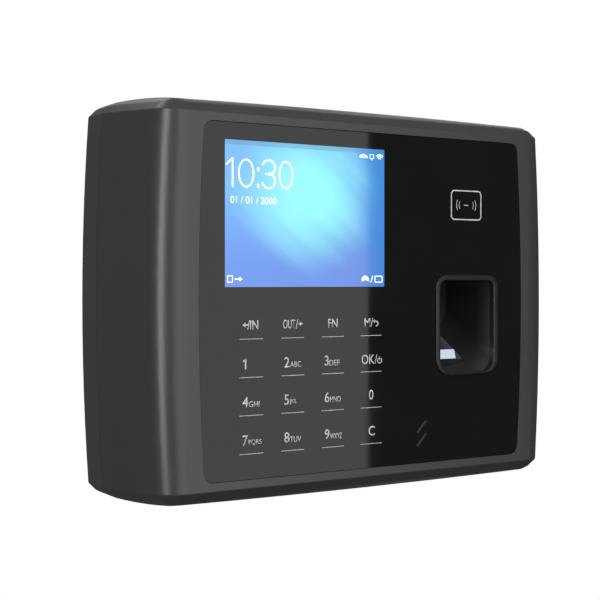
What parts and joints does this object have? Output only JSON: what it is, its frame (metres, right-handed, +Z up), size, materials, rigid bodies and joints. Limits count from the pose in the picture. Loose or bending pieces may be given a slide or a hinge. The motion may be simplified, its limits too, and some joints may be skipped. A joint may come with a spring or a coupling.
{
  "type": "fingerprint scanner terminal",
  "caption": "Wall-mounted fingerprint and card terminal: bevelled charcoal case, gloss panel with screen and touch keys, framed finger recess, hooked wall plate.",
  "frame": {"origin": "centre of the wall plate's back face, where it touches the wall", "axes": "+X to the right as seen from the front, +Y into the wall, +Z up; the front faces -Y"},
  "size_m": [0.1886, 0.0639, 0.1526],
  "materials": {
    "charcoal_shell": "satin moulded plastic, fine texture",
    "charcoal_rear": "satin moulded plastic, fine texture",
    "gloss_black_panel": "gloss black printed glass",
    "gloss_black_plastic": "gloss black moulded plastic",
    "frame_grey": "satin grey plastic",
    "foam": "adhesive foam",
    "screen": "lit colour screen",
    "galvanised_steel": "galvanised sheet steel",
    "plated_steel": "plated sheet steel",
    "screw_steel": "zinc plated screws",
    "ribbon_amber": "flexible printed ribbon",
    "connector_white": "moulded connector",
    "board_black": "black circuit board",
    "board_green": "green circuit board",
    "copper": "etched copper",
    "black_plastic": "moulded plastic",
    "optical_glass": "polished optical prism",
    "light_bar": "lit light guide",
    "relay_blue": "moulded relay case",
    "terminal_green": "moulded terminal block",
    "black_rubber": "moulded rubber",
    "reset_red": "moulded button",
    "plunger_grey": "moulded plunger"
  },
  "bodies": {
    "wall_mount": {"wall_plate": "galvanised_steel"},
    "terminal": {"front_housing": "charcoal_shell", "rear_cover": "charcoal_rear", "front_panel": "gloss_black_panel", "panel_gasket": "foam", "finger_frame": "frame_grey", "finger_guide": "gloss_black_plastic", "screen_cell": "screen", "screen_backlight": "plated_steel", "screen_bracket": "galvanised_steel", "screen_ribbon": "ribbon_amber", "screen_connector": "connector_white", "key_board": "board_black", "key_ribbon": "ribbon_amber", "key_connector": "connector_white", "card_antenna_board": "board_green", "card_antenna_coil": "copper", "speaker_gasket": "foam", "speaker": "black_plastic", "sensor_prism": "optical_glass", "sensor_case": "black_plastic", "sensor_light_bar": "light_bar", "sensor_board": "board_green", "sensor_camera": "black_plastic", "sensor_ribbon": "ribbon_amber", "sensor_connector": "connector_white", "main_board": "board_green", "processor_shield": "plated_steel", "wireless_module": "plated_steel", "relay": "relay_blue", "coin_cell_holder": "black_plastic", "coin_cell": "plated_steel", "capacitor": "black_plastic", "inductor": "black_plastic", "network_jack": "plated_steel", "power_jack": "black_plastic", "terminal_block": "terminal_green", "usb_port": "plated_steel", "reset_switch": "black_plastic", "tamper_switch": "black_plastic", "housing_screw_1": "screw_steel", "board_screw_1": "screw_steel", "bracket_screw_1": "screw_steel", "housing_screw_2": "screw_steel", "board_screw_2": "screw_steel", "bracket_screw_2": "screw_steel", "housing_screw_3": "screw_steel", "board_screw_3": "screw_steel", "bracket_screw_3": "screw_steel", "housing_screw_4": "screw_steel", "board_screw_4": "screw_steel", "bracket_screw_4": "screw_steel", "guide_screw_1": "screw_steel", "guide_screw_2": "screw_steel", "security_screw": "screw_steel"},
    "tamper_plunger": {"tamper_plunger": "plunger_grey"},
    "reset_button": {"reset_button": "reset_red"},
    "usb_cover": {"usb_cover": "black_rubber"}
  },
  "joints": [
    {"name": "lift_off", "type": "slide", "parent": "wall_mount", "child": "terminal", "axis": [0, 0, 1], "range_m": [0, 0.006]},
    {"name": "tamper_press", "type": "slide", "parent": "terminal", "child": "tamper_plunger", "axis": [0, -1, 0], "range_m": [0, 0.0015], "stiffness_N_per_m": 400},
    {"name": "reset_press", "type": "slide", "parent": "terminal", "child": "reset_button", "axis": [0, 0, 1], "range_m": [0, 0.0007], "stiffness_N_per_m": 1200},
    {"name": "usb_cover_hinge", "type": "hinge", "parent": "terminal", "child": "usb_cover", "pos_m": [0.0754, -0.02195, -0.0754], "axis": [0, -1, 0], "range_deg": [0, 100]}
  ]
}
